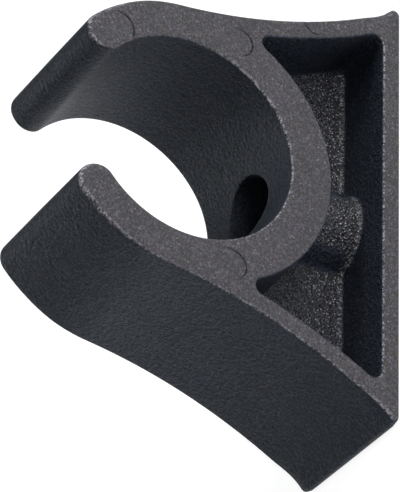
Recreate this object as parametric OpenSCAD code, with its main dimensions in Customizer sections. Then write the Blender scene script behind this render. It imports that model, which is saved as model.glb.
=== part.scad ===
// Spring clip for a 25 mm tube or pole: one plastic moulding with a round seat,
// two jaws that spring apart, and a flared foot with one recessed screw hole.
// Frame: the mounting face lies in Z = 0, +Z points away from the mounting surface,
// Y runs along the held tube, X along the foot. The screw axis is the Z axis.

/* [Tube seat] */
// Diameter of the tube that the seat holds
tube_d = 25; // [24:0.5:26]
// Height of the tube's axis above the mounting face
axis_h = 26.4; // [26:0.1:28]
// Wall thickness of the two jaws
jaw_t = 4.6; // [4.5:0.1:5]
// Wall thickness of the seat where it faces the foot
back_t = 5.1; // [4.8:0.1:5.5]
// Free gap between the two lips
mouth = 15.2; // [14.4:0.1:15.4]
// Radius of the rounded outer corner of each jaw tip
tip_r = 2.3; // [1.9:0.1:2.3]
// Radius of each lip, where the tip turns into the seat
lip_r = 1.9; // [1:0.1:1.9]
// Direction of the flex root of each jaw, in degrees below the tube's axis
root_a = 20; // [16:1:24]

/* [Foot] */
// Width of the clip along the tube
width = 18.8; // [16:0.4:24]
// Thickness of the mounting plate
plate_t = 2.2; // [2:0.1:3]
// Thickness of the two flared side walls
flange_t = 2.3; // [2:0.1:2.6]
// Radius of the hollow curve that runs from each jaw down to the foot
flare_r = 66; // [63:1:70]
// Angle above the tube's axis where that curve leaves the jaw
flare_a = 7; // [5:0.5:8]
// Radius of the foot's rounded ends
foot_r = 0.6; // [0.5:0.1:1]
// How far the foot's ends stand proud of the hollow curve
foot_lip = 0.6; // [0.2:0.1:1]
// Radius of the turn from the hollow curve to the foot's ends
curl_r = 10; // [6:1:24]
// Thickness of the middle web between the two pockets
web_t = 2.2; // [1.6:0.1:3]
// Corner radius of the pockets
pocket_r = 1.1; // [0.7:0.1:1.3]

/* [Screw] */
// Diameter of the screw hole
screw_d = 4.5; // [4:0.1:5]
// Diameter of the recess that lets the screw's head and driver through
head_d = 8.2; // [7.5:0.1:8.4]
// Height of the seat under the screw's head
seat_h = 3.5; // [3:0.1:4.5]
// Outer diameter of the screw boss
boss_d = 10.5; // [10.2:0.1:11]

/* [Hidden] */
$fn = 96;
seat_r = tube_d / 2;
jaw_r = seat_r + jaw_t;            // outer radius of the jaws
back_r = seat_r + back_t;          // outer radius of the seat inside the pockets
c = [0, axis_h];                   // tube axis, in the X-Z plane
function dir(a) = [cos(a), sin(a)];
function angle(v) = atan2(v.y, v.x);
// Points on an arc round p, from angle a0 to a1, about one every 'step' degrees.
function arc(p, r, a0, a1, step = 4) =
    let (n = max(2, ceil(abs(a1 - a0) / step)))
    [for (i = [0:n]) p + r * dir(a0 + (a1 - a0) * i / n)];
function flip(pts) = [for (i = [len(pts) - 1:-1:0]) [-pts[i].x, pts[i].y]];

// Centre of the hollow curve, tangent to the jaw's outer circle.
f = c + (jaw_r + flare_r) * dir(flare_a);
// Centre of the foot's rounded end, tangent to the mounting face.
k = [f.x - sqrt(pow(flare_r + foot_r, 2) - pow(f.y - foot_r, 2)) + foot_lip, foot_r];
// Centre of the turn between the two, tangent to the foot's end and to the hollow curve.
kd = norm(f - k);
ku = (pow(curl_r + foot_r, 2) - pow(flare_r - curl_r, 2) + kd * kd) / (2 * kd);
kv = sqrt(pow(curl_r + foot_r, 2) - ku * ku);
g = k + ku * (f - k) / kd + kv * [-(f - k).y, (f - k).x] / kd;
// Centre of the tip's outer corner, inside the jaw's outer circle.
t = [mouth / 2 + tip_r, axis_h + sqrt(pow(jaw_r - tip_r, 2) - pow(mouth / 2 + tip_r, 2))];
// Centre of the lip, outside the seat's circle.
l = [mouth / 2 + lip_r, axis_h + sqrt(pow(seat_r + lip_r, 2) - pow(mouth / 2 + lip_r, 2))];

// Right half of the outer outline, from the mounting face up over the tip to the lip.
half_outline = concat(
    arc(k, foot_r, -90, angle(g - k), 12),
    arc(g, curl_r, 180 + angle(g - k), 360 + angle(g - f), 4),
    arc(f, flare_r, 360 + angle(g - f), 180 + flare_a, 1.5),
    arc(c, jaw_r, flare_a, angle(t - c), 3),
    arc(t, tip_r, angle(t - c), 180, 12),
    arc(l, lip_r, 180, 360 + angle(c - l), 12)
);
// The seat itself is cut with a cylinder, so the outline passes just inside it.
outline = concat(half_outline, [c + [0, -4]], flip(half_outline));

// Right half of a pocket. d is the inset of its walls at that depth.
kp = [f.x - sqrt(pow(flare_r + flange_t + pocket_r, 2) - pow(f.y - plate_t - pocket_r, 2)),
      plate_t + pocket_r];
// Centre of the pocket's narrow upper corner, between the seat's back and the side wall.
s_r = pocket_r * 0.9;
sd = norm(f - c);
su = (pow(back_r + s_r, 2) - pow(flare_r + flange_t + s_r, 2) + sd * sd) / (2 * sd);
sv = sqrt(pow(back_r + s_r, 2) - su * su);
s = c + su * (f - c) / sd + sv * [(f - c).y, -(f - c).x] / sd;
half_pocket = concat(
    arc(kp, pocket_r, -90, angle(f - kp), 20),
    arc(f, flare_r + flange_t, 360 + angle(kp - f), 360 + angle(s - f), 1.5),
    arc(s, s_r, angle(f - s), 180 + angle(s - c), 20)
);
pocket = concat(half_pocket, [c + [0, -back_r + 3]], flip(half_pocket));

module upright(w) rotate([90, 0, 0]) linear_extrude(w, center = true) children();
module along_tube(r, w) rotate([90, 0, 0]) cylinder(r = r, h = w, center = true);

// The whole moulding's outline, without pockets or screw hole.
module shell() difference() {
    upright(width) polygon(outline);
    translate([0, 0, axis_h]) along_tube(seat_r, width + 2);
}

// The region of the right jaw, above the cut that runs from the tube's axis through the flex root.
module jaw_region() upright(width + 4)
    polygon([c, c + 40 * dir(-root_a), c + [40, 30], c + [0, 30]]);

// One pocket on the side y_sign, with the screw boss left standing in it.
module pocket_cut(y_sign) difference() {
    depth = (width - web_t) / 2;
    translate([0, y_sign * (web_t + depth + 1) / 2, 0]) upright(depth + 1) polygon(pocket);
    translate([0, 0, axis_h]) along_tube(back_r, width + 4);
    translate([0, 0, 1]) cylinder(d = boss_d, h = axis_h - seat_r - 1.2);
}

module clip_body() color("#2f3034") difference() {
    shell();
    jaw_region();
    mirror([1, 0, 0]) jaw_region();
    pocket_cut(-1);
    pocket_cut(1);
    translate([0, 0, -1]) cylinder(d = screw_d, h = axis_h);
    translate([0, 0, seat_h]) cylinder(d = head_d, h = axis_h - seat_h);
}

module jaw_right() color("#2f3034") intersection() {
    shell();
    jaw_region();
}

module jaw_left() mirror([1, 0, 0]) jaw_right();

clip_body();
jaw_left();
jaw_right();
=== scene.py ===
"""Moulded plastic pole clip: detailed visual meshes, materials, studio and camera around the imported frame."""
import bpy
import bmesh
import math
import numpy as np
from mathutils import Matrix, Vector
from mathutils.geometry import delaunay_2d_cdt


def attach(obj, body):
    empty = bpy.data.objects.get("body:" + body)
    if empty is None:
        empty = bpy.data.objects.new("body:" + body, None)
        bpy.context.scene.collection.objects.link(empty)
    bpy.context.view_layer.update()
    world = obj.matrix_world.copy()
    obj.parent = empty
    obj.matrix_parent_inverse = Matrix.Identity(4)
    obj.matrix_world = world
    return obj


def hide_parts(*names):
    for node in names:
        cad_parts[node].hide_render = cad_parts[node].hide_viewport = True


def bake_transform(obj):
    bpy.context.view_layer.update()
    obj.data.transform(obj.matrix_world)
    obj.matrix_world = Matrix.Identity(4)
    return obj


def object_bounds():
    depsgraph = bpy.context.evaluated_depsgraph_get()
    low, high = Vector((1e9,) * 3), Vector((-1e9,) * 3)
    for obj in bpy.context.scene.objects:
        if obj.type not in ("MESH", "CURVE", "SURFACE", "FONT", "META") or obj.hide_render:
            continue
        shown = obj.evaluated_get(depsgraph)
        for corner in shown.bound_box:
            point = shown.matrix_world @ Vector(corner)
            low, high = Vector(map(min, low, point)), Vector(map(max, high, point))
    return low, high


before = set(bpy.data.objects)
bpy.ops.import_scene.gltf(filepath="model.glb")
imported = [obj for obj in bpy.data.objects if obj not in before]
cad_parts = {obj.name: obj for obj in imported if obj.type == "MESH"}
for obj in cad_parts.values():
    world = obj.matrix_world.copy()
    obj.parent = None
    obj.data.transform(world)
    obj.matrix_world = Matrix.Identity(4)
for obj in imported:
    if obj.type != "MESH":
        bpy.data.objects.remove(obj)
cad_lo, cad_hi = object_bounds()

# ------------------------------------------------------------------ sizes, in millimetres, as the CAD part has them
SEAT_R, AXIS_H = 12.5, 26.4
JAW_R, BACK_R = SEAT_R + 4.6, SEAT_R + 5.1
MOUTH, TIP_R, LIP_R = 15.2, 2.3, 1.9
ROOT_A = 20.0
HALF_W = 9.4
PLATE_T, FLANGE_T = 2.2, 2.3
FLARE_R, FLARE_A = 66.0, 7.0
FOOT_R, FOOT_LIP, CURL_R, POCKET_R, APEX_R = 0.6, 0.6, 10.0, 1.1, 0.99
WEB_Y = 1.1
SCREW_R, HEAD_R, SEAT_H, BOSS_R = 2.25, 4.1, 3.5, 5.25

# finishing radii of the moulding, which the plain CAD solids leave out
EDGE_R = 0.26          # outer edges of both side faces
SEAT_EDGE_R = 0.36     # the same edges round the right half of the seat
TIP_EDGE_R = 0.55      # the same edges round the outer corners of the jaw tips
POCKET_EDGE_R = 0.30   # rim of the pockets
FLOOR_R = 0.5          # pocket floor to wall
BOSS_FILLET = 0.6      # boss to web
DRAFT = math.tan(math.radians(0.6))        # pocket walls
DRAFT_OUT = math.tan(math.radians(0.2))    # outer walls and seat
PLAN_R = 0.9           # corners of the foot's ends, seen from above
PATCH_X = 5.6          # half width of the areas round the screw's holes


def dirv(a):
    a = math.radians(a)
    return np.array([math.cos(a), math.sin(a)])


def ang(v):
    return math.degrees(math.atan2(v[1], v[0]))


def sstep(t):
    t = np.clip(t, 0.0, 1.0)
    return t * t * (3 - 2 * t)


C = np.array([0.0, AXIS_H])
F = C + (JAW_R + FLARE_R) * dirv(FLARE_A)
K = np.array([F[0] - math.sqrt((FLARE_R + FOOT_R) ** 2 - (F[1] - FOOT_R) ** 2) + FOOT_LIP, FOOT_R])
KD = float(np.linalg.norm(F - K))
KU = ((CURL_R + FOOT_R) ** 2 - (FLARE_R - CURL_R) ** 2 + KD ** 2) / (2 * KD)
KV = math.sqrt((CURL_R + FOOT_R) ** 2 - KU ** 2)
KE = (F - K) / KD
G = K + KU * KE + KV * np.array([-KE[1], KE[0]])
T = np.array([MOUTH / 2 + TIP_R, AXIS_H + math.sqrt((JAW_R - TIP_R) ** 2 - (MOUTH / 2 + TIP_R) ** 2)])
L = np.array([MOUTH / 2 + LIP_R, AXIS_H + math.sqrt((SEAT_R + LIP_R) ** 2 - (MOUTH / 2 + LIP_R) ** 2)])
IN_R = FLARE_R + FLANGE_T
KP = np.array([F[0] - math.sqrt((IN_R + POCKET_R) ** 2 - (F[1] - PLATE_T - POCKET_R) ** 2), PLATE_T + POCKET_R])
SD = float(np.linalg.norm(F - C))
SU = ((BACK_R + APEX_R) ** 2 - (IN_R + APEX_R) ** 2 + SD ** 2) / (2 * SD)
SV = math.sqrt((BACK_R + APEX_R) ** 2 - SU ** 2)
FC = (F - C) / SD
S = C + SU * FC + SV * np.array([FC[1], -FC[0]])


def arc(p, r, a0, a1, ds, side):
    """Points and normals along an arc, its last point left out. side is +1 where the normal points away from p."""
    n = max(3, int(math.ceil(abs(a1 - a0) * math.pi / 180 * r / ds)))
    a = [a0 + (a1 - a0) * i / n for i in range(n)]
    return [p + r * dirv(x) for x in a], [side * dirv(x) for x in a]


def line(p, q, ds, normal):
    p, q = np.array(p, float), np.array(q, float)
    n = max(1, int(math.ceil(np.linalg.norm(q - p) / ds)))
    return [p + (q - p) * i / n for i in range(n)], [np.array(normal, float)] * n


def join(*parts):
    pts, nor = [], []
    for a, b in parts:
        pts += a
        nor += b
    return np.array(pts), np.array(nor)


def up(a):
    return a % 360.0


# ------------------------------------------------------------------ outer outline of the moulding
A5 = math.degrees(math.asin(PATCH_X / SEAT_R))
right_p, right_n = join(
    line((PATCH_X, 0), (K[0], 0), 0.7, (0, -1)),
    arc(K, FOOT_R, -90, ang(G - K), 0.1, 1),
    arc(G, CURL_R, 180 + ang(G - K), up(ang(G - F)), 0.3, -1),
    arc(F, FLARE_R, up(ang(G - F)), 180 + FLARE_A, 0.5, -1),
    arc(C, JAW_R, FLARE_A, ang(T - C), 0.4, 1),
    arc(T, TIP_R, ang(T - C), 180, 0.2, 1),
    line((MOUTH / 2, T[1]), (MOUTH / 2, L[1]), 0.2, (-1, 0)),
    arc(L, LIP_R, 180, up(ang(C - L)), 0.15, 1),
    arc(C, SEAT_R, ang(L - C), -90 + A5, 0.4, -1),
)
mid_bore = join(arc(C, SEAT_R, -90 + A5, -90 - A5, 0.5, -1))
mid_foot = join(line((-PATCH_X, 0), (PATCH_X, 0), 0.7, (0, -1)))
# the mirrored half runs from the seat's bottom back to the foot; it starts on its first point and ends before its last
full_right = np.vstack([right_p, C + SEAT_R * dirv(-90 + A5)])
full_right_n = np.vstack([right_n, -dirv(-90 + A5)])
left_p = full_right[::-1] * [-1, 1]
left_n = full_right_n[::-1] * [-1, 1]
left_p, left_n = left_p[:-1], left_n[:-1]
OUT_P = np.vstack([right_p, mid_bore[0], left_p, mid_foot[0]])
OUT_N = np.vstack([right_n, mid_bore[1], left_n, mid_foot[1]])
n_r, n_b, n_l, n_f = len(right_p), len(mid_bore[0]), len(left_p), len(mid_foot[0])
BORE_RANGE = (n_r, n_r + n_b)                       # patch columns, first and last
FOOT_RANGE = (n_r + n_b + n_l, n_r + n_b + n_l + n_f)  # wraps to column 0
NP = len(OUT_P)
OUT_C = np.hypot(OUT_P[:, 0], OUT_P[:, 1] - AXIS_H)
OUT_R = EDGE_R + (TIP_EDGE_R - EDGE_R) * sstep((OUT_P[:, 1] - AXIS_H - 5.5) / 5.5) * sstep((OUT_C - 13.2) / 2.4)
OUT_R += (SEAT_EDGE_R - EDGE_R) * (OUT_C < 12.6) * sstep((OUT_P[:, 0] - 1.0) / 5.0) * sstep((AXIS_H + 9.0 - OUT_P[:, 1]) / 4.0)

# ------------------------------------------------------------------ outline of a pocket, normals into the hollow
pk_right = join(
    line((0, PLATE_T), (KP[0], PLATE_T), 0.35, (0, 1)),
    arc(KP, POCKET_R, -90, ang(F - KP), 0.14, -1),
    arc(F, IN_R, up(ang(KP - F)), up(ang(S - F)), 0.4, 1),
    arc(S, APEX_R, ang(F - S), 180 + ang(S - C), 0.14, -1),
    arc(C, BACK_R, ang(S - C), -90, 0.35, 1),
)
pr, pn = pk_right
pr_full = np.vstack([pr, C + BACK_R * dirv(-90)])
pn_full = np.vstack([pn, dirv(-90)])
PK_P = np.vstack([pr, (pr_full[::-1] * [-1, 1])[:-1]])
PK_N = np.vstack([pn, (pn_full[::-1] * [-1, 1])[:-1]])

# ------------------------------------------------------------------ the boss that stands out of the web, y as a height over x
XF = math.sqrt((BOSS_R + BOSS_FILLET) ** 2 - (WEB_Y + BOSS_FILLET) ** 2)
XT = XF * BOSS_R / (BOSS_R + BOSS_FILLET)


def height(x):
    """How far the web or boss stands out of the middle plane at x."""
    x = np.abs(np.asarray(x, float))
    boss = np.sqrt(np.maximum(BOSS_R ** 2 - x ** 2, 0))
    fil = (WEB_Y + BOSS_FILLET) - np.sqrt(np.maximum(BOSS_FILLET ** 2 - (x - XF) ** 2, 0))
    return np.where(x < XT, boss, np.where(x < XF, fil, WEB_Y))


_tx = np.concatenate([np.linspace(0, 4.6, 60), np.linspace(4.61, XF + 0.05, 160), np.linspace(XF + 0.1, 40, 40)])
_tu = np.concatenate([[0], np.cumsum(np.hypot(np.diff(_tx), np.diff(height(_tx))))])


def unroll(x):
    return np.sign(x) * np.interp(np.abs(x), _tx, _tu)


def reroll(u):
    return np.sign(u) * np.interp(np.abs(u), _tu, _tx)


# ------------------------------------------------------------------ mesh making
class Shell:
    """A growing list of points and faces. Each point has a grain value: -1 ejector mark, 0 side face, 1 outer and seat walls, 2 pocket walls, 3 web and boss."""

    def __init__(self):
        self.v, self.g, self.f = [], [], []

    def add(self, pts, grain):
        start = len(self.v)
        pts = np.asarray(pts, float).reshape(-1, 3)
        self.v.extend(pts)
        self.g.extend(np.broadcast_to(np.asarray(grain, float), (len(pts),)))
        return np.arange(start, start + len(pts))

    def strip(self, a, b, closed=True):
        n = len(a)
        for i in range(n if closed else n - 1):
            j = (i + 1) % n
            self.f.append((a[i], a[j], b[j], b[i]))

    def tris(self, ids, flat, loops, keep):
        """Fills an area: ids are point numbers, flat their places in the plane of the fill, loops the closed edges to keep."""
        where = {int(g): k for k, g in enumerate(ids)}
        edges = []
        for loop in loops:
            m = [where[int(g)] for g in loop]
            edges += [(m[k], m[(k + 1) % len(m)]) for k in range(len(m))]
        out = delaunay_2d_cdt([Vector((float(p[0]), float(p[1]))) for p in flat], edges, [], 0, 1e-7)
        verts, faces, orig = out[0], out[2], out[3]
        assert all(len(o) == 1 for o in orig), "a fill made or merged a point"
        back = [o[0] for o in orig]
        pos = np.array([[v[0], v[1]] for v in verts])
        mid = np.array([pos[list(f)].mean(0) for f in faces])
        ok = keep(mid)
        for f, k in zip(faces, ok):
            if k:
                self.f.append(tuple(int(ids[back[i]]) for i in f))


def inside(poly, pts):
    """Even-odd test of many points against one closed polygon."""
    x, y = pts[:, 0], pts[:, 1]
    res = np.zeros(len(pts), bool)
    px, py = poly[:, 0], poly[:, 1]
    qx, qy = np.roll(px, -1), np.roll(py, -1)
    for a, b, c, d in zip(px, py, qx, qy):
        if b == d:
            continue
        hit = ((b > y) != (d > y)) & (x < (c - a) * (y - b) / (d - b) + a)
        res ^= hit
    return res


def clear_of(pts, others, gap):
    keep = np.ones(len(pts), bool)
    for s in range(0, len(others), 400):
        d = np.hypot(pts[:, None, 0] - others[None, s:s + 400, 0], pts[:, None, 1] - others[None, s:s + 400, 1])
        keep &= d.min(1) > gap
    return keep


def as3(p2, y):
    p2 = np.asarray(p2, float)
    return np.column_stack([p2[:, 0], np.broadcast_to(y, (len(p2),)), p2[:, 1]])


shell = Shell()
KR, M = 6, 20
# the outer walls and the seat lean back from the parting plane in the middle; the mounting face stays flat
LEAN = DRAFT_OUT * np.where(OUT_P[:, 1] < 2, np.clip(OUT_N[:, 1] + 1, 0, 1), 1.0)
LEAN[np.isclose(OUT_N[:, 1], -1) & (OUT_P[:, 1] < 0.01)] = 0.0


def wall(y, inset=0.0):
    """The outline at distance y from the parting plane, drawn in further by inset."""
    return OUT_P - OUT_N * (LEAN * abs(y) + inset)[:, None]


levels = []                       # levels[j][i] is the point number of column i at level j
for k in range(KR + 1):
    a = math.radians(90.0 * k / KR)
    p = wall(HALF_W, OUT_R * (1 - math.sin(a)))
    levels.append(shell.add(as3(p, -HALF_W + OUT_R * (1 - math.cos(a))), k / KR))
for m in range(1, M):
    y = (-HALF_W + OUT_R) + (2 * HALF_W - 2 * OUT_R) * m / M
    p = OUT_P - OUT_N * (LEAN * np.abs(y))[:, None]
    levels.append(shell.add(as3(p, y), 1.0))
for k in range(KR, -1, -1):
    a = math.radians(90.0 * k / KR)
    p = wall(HALF_W, OUT_R * (1 - math.sin(a)))
    levels.append(shell.add(as3(p, HALF_W - OUT_R * (1 - math.cos(a))), k / KR))
JF, JR = KR, KR + M


def in_patch(i):
    return BORE_RANGE[0] <= i < BORE_RANGE[1] or FOOT_RANGE[0] <= i < FOOT_RANGE[1]


for j in range(len(levels) - 1):
    for i in range(NP):
        if JF <= j < JR and in_patch(i):
            continue
        n = (i + 1) % NP
        shell.f.append((levels[j][i], levels[j][n], levels[j + 1][n], levels[j + 1][i]))

# ------------------------------------------------------------------ screw hole, from the seat down through the boss and the plate
NH = 80
HA = np.arange(NH) * 2 * math.pi / NH
HC, HS = np.cos(HA), np.sin(HA)
RIM, FOOT_RIM = 0.24, 0.22


def ring(rho, z, grain):
    rho = np.broadcast_to(rho, (NH,))
    return shell.add(np.column_stack([rho * HC, rho * HS, np.broadcast_to(z, (NH,))]), grain)


def seat_z(x, y):
    return AXIS_H - np.sqrt((SEAT_R + DRAFT_OUT * np.abs(y)) ** 2 - x ** 2)


hole = []
for k in range(6):
    a = math.radians(18.0 * k)
    rho = HEAD_R + RIM * (1 - math.sin(a))
    hole.append(ring(rho, seat_z(rho * HC, rho * HS) - RIM * (1 - math.cos(a)), 1.0 if k < 3 else 2.0))
z_top = seat_z(HEAD_R * HC, HEAD_R * HS) - RIM
for k in range(1, 11):
    hole.append(ring(HEAD_R, z_top + (SEAT_H + 0.3 - z_top) * k / 10, 2.0))
for k in range(1, 5):
    a = math.radians(22.5 * k)
    hole.append(ring(HEAD_R - 0.3 * (1 - math.cos(a)), SEAT_H + 0.3 * (1 - math.sin(a)), 2.0))
hole.append(ring(3.2, SEAT_H, 2.0))
for k in range(5):
    a = math.radians(22.5 * k)
    hole.append(ring(SCREW_R + 0.2 * (1 - math.sin(a)), SEAT_H - 0.2 * (1 - math.cos(a)), 2.0))
for k in range(1, 4):
    z0, z1 = SEAT_H - 0.2, FOOT_RIM
    hole.append(ring(SCREW_R, z0 + (z1 - z0) * k / 3, 2.0))
for k in range(1, 5):
    a = math.radians(22.5 * k)
    hole.append(ring(SCREW_R + FOOT_RIM * (1 - math.cos(a)), FOOT_RIM * (1 - math.sin(a)), 1.0))
for a, b in zip(hole, hole[1:]):
    shell.strip(a, b)


def patch(first, last, rim_ids, rim_rho, zf):
    """Fills the lateral area between two outline columns round a round rim."""
    cols = [i % NP for i in range(first, last + 1)]
    rows = range(JF, JR + 1)
    border = ([levels[JF][i] for i in cols] + [levels[j][cols[-1]] for j in rows][1:]
              + [levels[JR][i] for i in cols[::-1]][1:] + [levels[j][cols[0]] for j in list(rows)[::-1]][1:-1])
    V = np.array(shell.v)
    b2 = V[border][:, :2]
    extra_rho = [rim_rho + 0.35, rim_rho + 0.85]
    pts = []
    for q, rho in enumerate(extra_rho):
        a = HA + (0.5 * (q + 1)) * 2 * math.pi / NH
        step = 1 if q == 0 else 2
        pts.append(np.column_stack([rho * np.cos(a[::step]), rho * np.sin(a[::step])]))
    rings2 = np.vstack(pts)
    gx, gy = np.meshgrid(np.linspace(-PATCH_X, PATCH_X, 15)[1:-1], np.linspace(-HALF_W + 1, HALF_W - 1, 20))
    grid = np.column_stack([gx.ravel(), gy.ravel()])
    grid = grid[np.hypot(grid[:, 0], grid[:, 1]) > extra_rho[-1] + 0.3]
    cand = np.vstack([rings2, grid])
    lo, hi = b2.min(0), b2.max(0)
    ok = (cand > lo + 0.15).all(1) & (cand < hi - 0.15).all(1)
    cand = cand[ok]
    cand = cand[clear_of(cand, b2, 0.2)]
    new = shell.add(np.column_stack([cand[:, 0], cand[:, 1], zf(cand[:, 0], cand[:, 1])]), 1.0)
    ids = np.concatenate([border, rim_ids, new])
    flat = np.array(shell.v)[ids][:, :2]
    shell.tris(ids, flat, [border, list(rim_ids)],
               lambda m: inside(b2, m) & (np.hypot(m[:, 0], m[:, 1]) > rim_rho * math.cos(math.pi / NH) - 1e-4))


patch(BORE_RANGE[0], BORE_RANGE[1], hole[0], HEAD_R + RIM, seat_z)
patch(FOOT_RANGE[0], FOOT_RANGE[1], hole[-1], SCREW_R + FOOT_RIM, lambda x, y: np.zeros_like(x))


# ------------------------------------------------------------------ pockets on both faces
def pocket(side):
    """side is -1 for the front face and +1 for the rear one. Returns the rim's point numbers."""
    loops = []
    plate = PK_P[:, 1] < PLATE_T + 0.5 * POCKET_R       # the rim along the plate gets more of the painted edge highlight than the rest
    for k in range(6):
        a = math.radians(18.0 * k)
        p = PK_P - PK_N * (POCKET_EDGE_R * (1 - math.sin(a)))
        steps = np.where(plate, (0.0, 0.35, 0.55, 0.8, 1.5, 2.0)[k], (0.0, 0.5, 1.2, 1.6, 1.8, 2.0)[k])
        loops.append(shell.add(as3(p, side * (HALF_W - POCKET_EDGE_R * (1 - math.cos(a)))), steps))
    depth0 = HALF_W - POCKET_EDGE_R
    h_wall = height(PK_P[:, 0]) + FLOOR_R
    for k in range(1, 11):
        d = depth0 + (h_wall - depth0) * k / 10
        p = PK_P + PK_N * ((depth0 - d) * DRAFT)[:, None]
        loops.append(shell.add(as3(p, side * d), 2.0))
    inset = ((depth0 - h_wall) * DRAFT)
    for k in range(1, 6):
        a = math.radians(18.0 * k)
        p = PK_P + PK_N * (inset + FLOOR_R * (1 - math.cos(a)))[:, None]
        d = height(p[:, 0]) + FLOOR_R * (1 - math.sin(a))
        loops.append(shell.add(as3(p, side * d), 2.0 + 0.2 * k))
    for a, b in zip(loops, loops[1:]):
        shell.strip(a, b)
    V = np.array(shell.v)
    border = loops[-1]
    b2 = np.column_stack([unroll(V[border][:, 0]), V[border][:, 2]])
    us = np.concatenate([np.arange(-9.0, 9.01, 0.45), np.arange(9.9, 32, 0.9), -np.arange(9.9, 32, 0.9)])
    gu, gz = np.meshgrid(us, np.arange(2.9, 20, 0.8))
    cand = np.column_stack([gu.ravel(), gz.ravel()])
    cand = cand[inside(b2, cand)]
    cand = cand[clear_of(cand, b2, 0.28)]
    x = reroll(cand[:, 0])
    # the boss's flanks carry a finer grain than its crown, and less of the painted pebble highlights, so they read as
    # turned from the light
    flank = sstep((np.abs(x + 0.7) - 2.2) / 1.6) * sstep((XF + 0.1 - np.abs(x)) / 0.3)
    new = shell.add(np.column_stack([x, side * height(x), cand[:, 1]]), 3.0 - 0.8 * flank)
    ids = np.concatenate([border, new])
    shell.tris(ids, np.vstack([b2, cand]), [list(border)], lambda m: inside(b2, m))
    return loops[0]


# ------------------------------------------------------------------ flat side faces, with the marks of the ejector pins on the front one
# centre x and z, radius, direction in which the mark is deepest
PINS = [(11.0, 36.0, 1.9, -75), (14.7, 21.0, 1.75, -85), (21.4, 11.05, 1.75, 140), (-14.6, 21.15, 1.9, -60)]


def face(side, rim, outer, pins):
    V = np.array(shell.v)
    o2, r2 = V[outer][:, [0, 2]], V[rim][:, [0, 2]]
    gx, gz = np.meshgrid(np.arange(-27, 27.1, 0.9), np.arange(0.4, 40, 0.9))
    cand = np.column_stack([gx.ravel() + 0.2 * (np.arange(gx.size) % 2), gz.ravel()])
    cand = cand[inside(o2, cand) & ~inside(r2, cand)]
    cand = cand[clear_of(cand, np.vstack([o2, r2]), 0.32)]
    marks, sink = [], []
    for cx, cz, r, deep in pins:
        cand = cand[np.abs(np.hypot(cand[:, 0] - cx, cand[:, 1] - cz) - r) > 0.5]
        for dr, dy in ((-0.30, 0.035), (-0.13, 0.035), (-0.05, 0.13), (0.05, 0.13), (0.13, 0.0), (0.30, 0.0)):
            m = 56
            t = np.arange(m) * 2 * math.pi / m
            p = np.column_stack([cx + (r + dr) * np.cos(t), cz + (r + dr) * np.sin(t)])
            w = 0.5 + 0.5 * np.cos(t - math.radians(deep))
            d = dy if abs(dy - 0.13) > 1e-6 else 0.035 + 0.11 * w ** 2
            ok = inside(o2, p) & ~inside(r2, p)
            ok &= clear_of(p, np.vstack([o2, r2]), 0.2)
            marks.append(p[ok])
            sink.append(np.broadcast_to(d, (m,))[ok])
    y = np.zeros(len(cand))
    for cx, cz, r, deep in pins:
        y = np.where(np.hypot(cand[:, 0] - cx, cand[:, 1] - cz) < r - 0.1, 0.035, y)
    if marks:
        cand = np.vstack([cand] + marks)
        y = np.concatenate([y] + sink)
    new = shell.add(as3(cand, side * (HALF_W - y)), -np.clip((y - 0.045) / 0.08, 0, 1))
    ids = np.concatenate([outer, rim, new])
    shell.tris(ids, np.vstack([o2, r2, cand]), [list(outer), list(rim)],
               lambda m: inside(o2, m) & ~inside(r2, m))


front_rim, rear_rim = pocket(-1), pocket(1)
face(-1, front_rim, levels[0], PINS)
face(1, rear_rim, levels[-1], [])

pts = np.array(shell.v)
# round the foot's ends in plan: the corners draw back towards both side faces
near = sstep((np.abs(pts[:, 0]) - 24.3) / 2.9)
past = np.clip(np.abs(pts[:, 1]) - (HALF_W - PLAN_R), 0, PLAN_R * 0.98)
pts[:, 0] -= np.sign(pts[:, 0]) * near * (PLAN_R - np.sqrt(PLAN_R ** 2 - past ** 2))
lo, hi = np.array(cad_lo) * 1000 + 1e-4, np.array(cad_hi) * 1000 - 1e-4
print("reach past the CAD box, mm:", round(float(max((lo - pts).max(), (pts - hi).max())), 4))
shell.v = list(np.clip(pts, lo, hi))

whole = bmesh.new()
layer = whole.verts.layers.float.new("grain")
bverts = [whole.verts.new(Vector(p) * 0.001) for p in shell.v]
for v, g in zip(bverts, shell.g):
    v[layer] = float(g)
for f in shell.f:
    whole.faces.new([bverts[int(i)] for i in f])
bmesh.ops.delete(whole, geom=[v for v in whole.verts if not v.link_faces], context="VERTS")
bmesh.ops.recalc_face_normals(whole, faces=whole.faces[:])
OPEN = [e for e in whole.edges if len(e.link_faces) != 2]
print("moulding: verts", len(whole.verts), "faces", len(whole.faces), "open edges", len(OPEN), "volume mm3",
      round(whole.calc_volume() * 1e9, 1))
assert not OPEN


# ------------------------------------------------------------------ cut the moulding at the roots of its jaws, as the CAD nodes are
def cut(bm, sign, keep_jaw):
    """Cuts one side of bm at the root plane and closes the cut. sign is +1 for the right jaw."""
    nrm = Vector((sign * math.sin(math.radians(ROOT_A)), 0, math.cos(math.radians(ROOT_A))))
    geom = [f for f in bm.faces if sign * f.calc_center_median().x > 0.004]
    if keep_jaw:
        bmesh.ops.delete(bm, geom=[f for f in bm.faces if sign * f.calc_center_median().x <= 0.004], context="FACES")
        geom = bm.faces[:]
    edges = {e for f in geom for e in f.edges}
    verts = {v for f in geom for v in f.verts}
    bmesh.ops.bisect_plane(bm, geom=list(verts) + list(edges) + list(geom), dist=1e-8, plane_co=Vector((0, 0, AXIS_H * 0.001)),
                           plane_no=nrm, clear_outer=not keep_jaw, clear_inner=keep_jaw)
    rim = [e for e in bm.edges if len(e.link_faces) == 1]
    made = bmesh.ops.holes_fill(bm, edges=rim, sides=0)["faces"]
    for e in rim:
        e.smooth = False
    bmesh.ops.triangulate(bm, faces=made, quad_method="BEAUTY", ngon_method="BEAUTY")
    bmesh.ops.recalc_face_normals(bm, faces=bm.faces[:])


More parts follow.
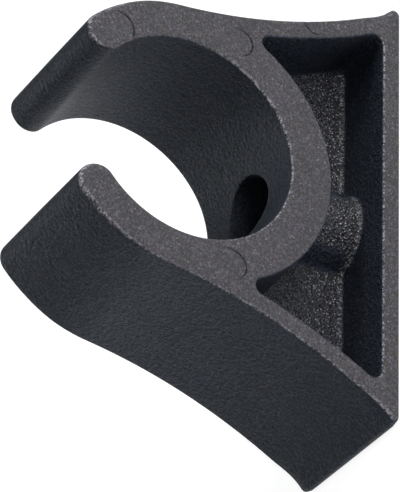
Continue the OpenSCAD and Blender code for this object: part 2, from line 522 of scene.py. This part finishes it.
def piece(name, bm, material):
    for f in bm.faces:
        f.smooth = True
    assert all(len(e.link_faces) == 2 for e in bm.edges), name + " is open"
    me = bpy.data.meshes.new(name)
    bm.to_mesh(me)
    bm.free()
    ob = bpy.data.objects.new(name, me)
    bpy.context.scene.collection.objects.link(ob)
    me.materials.append(material)
    print(name, "verts", len(me.vertices), "faces", len(me.polygons))
    return ob


# ------------------------------------------------------------------ material
def plastic(name):
    m = bpy.data.materials.new(name)
    m.use_nodes = True
    nt = m.node_tree
    nt.nodes.clear()
    N = nt.nodes.new

    def link(a, b):
        nt.links.new(a, b)

    def math_node(op, a, b=None, c=None, clamp=False):
        n = N("ShaderNodeMath")
        n.operation, n.use_clamp = op, clamp
        for i, x in enumerate((a, b, c)):
            if x is None:
                continue
            if isinstance(x, (int, float)):
                n.inputs[i].default_value = x
            else:
                link(x, n.inputs[i])
        return n.outputs[0]

    def mix(fac, a, b):
        n = N("ShaderNodeMix")
        n.data_type = "RGBA"
        for s, x in ((n.inputs[0], fac), (n.inputs[6], a), (n.inputs[7], b)):
            if isinstance(x, (int, float)):
                s.default_value = x
            elif isinstance(x, tuple):
                s.default_value = (*x, 1)
            else:
                link(x, s)
        return n.outputs[2]

    def fmix(fac, a, b):
        n = N("ShaderNodeMix")
        for s, x in ((n.inputs[0], fac), (n.inputs[2], a), (n.inputs[3], b)):
            if isinstance(x, (int, float)):
                s.default_value = x
            else:
                link(x, s)
        return n.outputs[0]

    def ramp(fac, lo, hi):
        n = N("ShaderNodeMapRange")
        n.interpolation_type = "SMOOTHSTEP"
        link(fac, n.inputs[0])
        n.inputs[1].default_value, n.inputs[2].default_value = lo, hi
        return n.outputs[0]

    out = N("ShaderNodeOutputMaterial")
    bsdf = N("ShaderNodeBsdfPrincipled")
    link(bsdf.outputs[0], out.inputs[0])
    tc = N("ShaderNodeTexCoord")
    mm = N("ShaderNodeVectorMath")
    mm.operation = "SCALE"
    mm.inputs[3].default_value = 1000.0
    link(tc.outputs["Object"], mm.inputs[0])
    P = mm.outputs[0]                                   # position in millimetres
    at = N("ShaderNodeAttribute")
    at.attribute_name = "grain"
    grain = at.outputs["Fac"]
    side = ramp(grain, 0.0, 1.0)                        # 0 on the side faces, 1 elsewhere
    web = ramp(grain, 2.2, 3.0)                         # 1 on the web and boss
    mark = ramp(grain, 0.0, -1.0)                       # 1 at the bottom of the ejector marks

    def noise(scale, detail=2.0, rough=0.5, seed=0.0):
        n = N("ShaderNodeTexNoise")
        off = N("ShaderNodeVectorMath")
        off.operation = "ADD"
        off.inputs[1].default_value = (seed, seed * 1.7, seed * 0.6)
        link(P, off.inputs[0])
        link(off.outputs[0], n.inputs["Vector"])
        n.inputs["Scale"].default_value = scale
        n.inputs["Detail"].default_value = detail
        n.inputs["Roughness"].default_value = rough
        return n

    def cells(scale, seed=0.0, feature="SMOOTH_F1"):
        n = N("ShaderNodeTexVoronoi")
        n.feature = feature
        off = N("ShaderNodeVectorMath")
        off.operation = "ADD"
        off.inputs[1].default_value = (seed, seed * 0.7, seed * 1.3)
        link(P, off.inputs[0])
        link(off.outputs[0], n.inputs["Vector"])
        n.inputs["Scale"].default_value = scale
        return n

    # colour: blue-black walls, greyer side faces, all mottled by fine warm and cool specks of one to two tenths
    def cell_colour(scale, seed):
        n = cells(scale, seed, "F1")
        sep = N("ShaderNodeSeparateColor")
        link(n.outputs["Color"], sep.inputs[0])
        return sep.outputs

    spk = cell_colour(6.2, 3.0)
    spk2 = cell_colour(4.4, 21.0)
    cloud = noise(0.16, 2.0, 0.5, 9.0).outputs[0]
    face_c = mix(ramp(cloud, 0.35, 0.65), (0.031, 0.030, 0.034), (0.037, 0.035, 0.039))
    wall_c = mix(ramp(cloud, 0.35, 0.65), (0.015, 0.019, 0.028), (0.020, 0.023, 0.032))
    base = mix(side, face_c, wall_c)
    base = mix(web, base, (0.023, 0.024, 0.029))

    def speckle(col, parts, gain, floor_, tint):
        """Each cell gets a brightness of its own, and leans a little to red or to blue."""
        level = math_node("MULTIPLY_ADD", math_node("POWER", parts[0], 2.2), gain, floor_)
        n = N("ShaderNodeCombineColor")
        link(math_node("MULTIPLY", level, math_node("MULTIPLY_ADD", parts[1], tint, 1 - tint / 2)), n.inputs[0])
        link(level, n.inputs[1])
        link(math_node("MULTIPLY", level, math_node("MULTIPLY_ADD", parts[2], tint, 1 - tint / 2)), n.inputs[2])
        m = N("ShaderNodeMix")
        m.data_type, m.blend_type, m.clamp_result = "RGBA", "MULTIPLY", False
        m.inputs[0].default_value = 1.0
        link(col, m.inputs[6])
        link(n.outputs[0], m.inputs[7])
        return m.outputs[2]

    base = speckle(base, spk, 1.60, 0.48, 0.55)
    base = speckle(base, spk2, 0.55, 0.82, 0.20)
    # painted highlights: rare pale specks in the colour stand in for glints of light on the grain, more on the side
    # faces than on the walls
    painted_glint = math_node("MULTIPLY", ramp(spk[1], 0.975, 0.995), fmix(side, 0.65, 0.25))
    base = mix(painted_glint, base, (0.17, 0.17, 0.18))
    # painted shade: the walls of the pockets and of the screw's hole are darkened in the colour, as shade falls in
    # these hollows
    inner_wall_shade = math_node("MULTIPLY", ramp(grain, 1.2, 2.0), math_node("SUBTRACT", 1.0, web))
    base = mix(math_node("MULTIPLY", inner_wall_shade, 0.10), base, (0.006, 0.007, 0.010))
    # painted highlights: the rounded moulded edges are painted paler, in specks, standing in for light caught on them
    painted_edge_highlight = math_node("MULTIPLY", math_node("MULTIPLY", grain, 4.0), math_node("SUBTRACT", 1.0, grain), clamp=True)
    geo = N("ShaderNodeNewGeometry")
    facing = N("ShaderNodeSeparateXYZ")
    link(geo.outputs["Normal"], facing.inputs[0])
    painted_edge_highlight = math_node("MULTIPLY", painted_edge_highlight, fmix(ramp(facing.outputs[2], -0.10, 0.60), 0.12, 1.0))      # the edges that face away from the mounting surface, up towards the key light, get the most painted highlight
    base = mix(math_node("MULTIPLY", painted_edge_highlight, ramp(spk2[2], 0.25, 0.90)), base, (0.26, 0.255, 0.265))
    # painted highlights: the tips of the pebbles on the web and boss are painted paler, standing in for glints of light
    # on them
    tips = cells(3.2, 31.0, "F1")
    tsep = N("ShaderNodeSeparateColor")
    link(tips.outputs["Color"], tsep.inputs[0])
    painted_pebble_highlight = math_node("MULTIPLY", ramp(math_node("MULTIPLY", tips.outputs["Distance"], -1.0), -0.38, -0.16), ramp(tsep.outputs[0], 0.0, 0.85))
    sep = N("ShaderNodeSeparateXYZ")
    link(P, sep.inputs[0])
    axis2 = math_node("ADD", math_node("MULTIPLY", sep.outputs[0], sep.outputs[0]), math_node("MULTIPLY", sep.outputs[1], sep.outputs[1]))
    screw_recess_shade = math_node("MULTIPLY", ramp(axis2, 20.0, 17.5), ramp(grain, 1.0, 2.0))               # painted shade: the walls of the screw's recess are darkened in the colour, as shade falls deep in it
    base = mix(math_node("MULTIPLY", screw_recess_shade, 0.35), base, (0.003, 0.003, 0.004))
    low = fmix(ramp(sep.outputs[2], 9.5, 3.6), 0.20, 1.0)          # painted highlight stronger towards the mounting plate, where the light reaches the web
    painted_fillet_highlight = ramp(sep.outputs[2], 3.1, 2.65)                    # painted highlight: a pale line where the web runs into the plate, standing in for light on that fillet
    painted_pebble_highlight = math_node("MULTIPLY", painted_pebble_highlight, math_node("MULTIPLY", low, fmix(ramp(axis2, 29.0, 26.0), 1.0, 0.75)))
    base = mix(math_node("MULTIPLY", painted_pebble_highlight, math_node("MULTIPLY", web, 0.95)), base, (0.55, 0.54, 0.54))
    base = mix(math_node("MULTIPLY", math_node("MULTIPLY", painted_fillet_highlight, ramp(grain, 2.2, 2.8)), math_node("MULTIPLY", ramp(spk2[2], 0.40, 1.0), 0.55)), base, (0.36, 0.36, 0.37))
    # painted shade: the bottoms of the ejector marks' grooves are painted near black, with a speckled strength
    base = mix(math_node("MULTIPLY", mark, fmix(ramp(spk2[0], 0.1, 0.7), 0.25, 0.62)), base, (0.003, 0.003, 0.004))
    link(base, bsdf.inputs["Base Color"])

    # roughness: a matt moulding, shinier on the peaks of the grain
    rough = fmix(ramp(spk[1], 0.0, 1.0), 0.44, 0.60)
    rough = fmix(web, rough, 0.36)
    link(rough, bsdf.inputs["Roughness"])
    bsdf.inputs["IOR"].default_value = 1.5
    link(fmix(mark, fmix(web, fmix(inner_wall_shade, 0.42, 0.28), 0.60), 0.08), bsdf.inputs["Specular IOR Level"])
    link(mix(web, mix(side, (0.94, 0.92, 1.0), (0.74, 0.85, 1.0)), (0.90, 0.93, 1.0)), bsdf.inputs["Specular Tint"])

    # grain: fine spark-eroded pits everywhere, leathery creases on the walls, coarse pebbles on web and boss
    fine = noise(5.2, 2.0, 0.7, 1.3).outputs[0]
    crease = noise(2.1, 3.0, 0.62, 5.0).outputs[0]
    crumb = noise(3.0, 2.0, 0.6, 14.0).outputs[0]
    h = math_node("MULTIPLY", fine, 0.10)
    h = math_node("ADD", h, math_node("MULTIPLY", math_node("MULTIPLY", crease, side), 0.29))
    coarse = math_node("ADD", math_node("MULTIPLY", tips.outputs["Distance"], -0.28), math_node("MULTIPLY", crumb, 0.22))
    h = math_node("ADD", h, math_node("MULTIPLY", coarse, web))
    bump = N("ShaderNodeBump")
    bump.inputs["Strength"].default_value = 1.0
    bump.inputs["Distance"].default_value = 0.001
    link(h, bump.inputs["Height"])
    link(bump.outputs[0], bsdf.inputs["Normal"])
    return m


black = plastic("moulded_black_plastic")

body_bm = whole.copy()
cut(body_bm, 1, False)
cut(body_bm, -1, False)
right_bm = whole.copy()
cut(right_bm, 1, True)
left_bm = whole.copy()
cut(left_bm, -1, True)
whole.free()

body_ob = piece("clip_moulding", body_bm, black)
right_ob = piece("right_jaw_moulding", right_bm, black)
left_ob = piece("left_jaw_moulding", left_bm, black)

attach(body_ob, "body")
for ob, sgn, bname in ((right_ob, 1, "right_jaw"), (left_ob, -1, "left_jaw")):
    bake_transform(ob)
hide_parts("clip_body")
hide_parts("jaw_right")
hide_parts("jaw_left")

# ------------------------------------------------------------------ floor, lights, camera
floor_me = bpy.data.meshes.new("floor")
floor_me.from_pydata([(-4, -4, 0), (4, -4, 0), (4, 4, 0), (-4, 4, 0)], [], [(0, 1, 2, 3)])
floor = bpy.data.objects.new("floor", floor_me)
bpy.context.scene.collection.objects.link(floor)
fm = bpy.data.materials.new("pale_floor")
fm.use_nodes = True
fb = fm.node_tree.nodes["Principled BSDF"]
fb.inputs["Base Color"].default_value = (0.40, 0.40, 0.40, 1)
fb.inputs["Roughness"].default_value = 0.7
fb.inputs["Emission Color"].default_value = (1, 1, 1, 1)
fb.inputs["Emission Strength"].default_value = 0.88
floor_me.materials.append(fm)

TARGET = Vector((0, 0, 0.018))


def area(name, direction, dist, size, power, colour=(1, 1, 1)):
    d = Vector(direction).normalized()
    light = bpy.data.lights.new(name, "AREA")
    light.shape, light.size, light.energy, light.color = "DISK", size, power, colour
    ob = bpy.data.objects.new(name, light)
    ob.location = TARGET + d * dist
    ob.rotation_mode = "QUATERNION"
    ob.rotation_quaternion = d.to_track_quat("Z", "Y")
    ob.visible_camera = False
    bpy.context.scene.collection.objects.link(ob)
    return ob


LIGHTS = [
    ("front_low", (0.0, -1.0, 0.15), 0.8, 0.4, 2.48, (1.0, 0.98, 1.0)),
    ("front_right", (0.7, -1.0, 0.35), 0.8, 0.4, 2.24, (1.0, 0.98, 1.0)),
    ("right", (1.0, -0.2, 0.4), 0.8, 0.5, 2.30, (0.97, 0.99, 1.0)),
    ("key", (0.5, -0.42, 0.75), 0.8, 0.22, 1.40, (1.0, 1.0, 1.0)),
    ("fill", (-0.55, -0.74, 0.40), 0.9, 0.4, 0.55, (0.97, 0.99, 1.0)),
    ("rear", (0.1, 1.0, 0.6), 0.9, 0.5, 2.10, (0.97, 0.99, 1.0)),
]
for spec in LIGHTS:
    area(*spec)

world = bpy.data.worlds.new("studio")
bpy.context.scene.world = world
world.use_nodes = True
world.node_tree.nodes["Background"].inputs[0].default_value = (0.55, 0.62, 0.75, 1)
world.node_tree.nodes["Background"].inputs[1].default_value = 0.02

cam_data = bpy.data.cameras.new("camera")
cam_data.sensor_fit = "AUTO"
cam_data.sensor_width = 36.0
cam_data.lens = 263.22
cam_data.clip_start, cam_data.clip_end = 0.01, 20.0
cam = bpy.data.objects.new("camera", cam_data)
cam_x = Vector((0.030997, -0.495931, -0.867809))
cam_y = Vector((0.837174, -0.461447, 0.293608))
cam_z = Vector((-0.546057, -0.735608, 0.400877))
rot = Matrix((cam_x, cam_y, cam_z)).transposed().to_4x4()
cam.matrix_world = Matrix.Translation(Vector((-0.2216887, -0.2896136, 0.1777191))) @ rot
bpy.context.scene.collection.objects.link(cam)
bpy.context.scene.camera = cam
bpy.context.scene.view_settings.view_transform = "Standard"
bpy.context.scene.view_settings.look = "None"
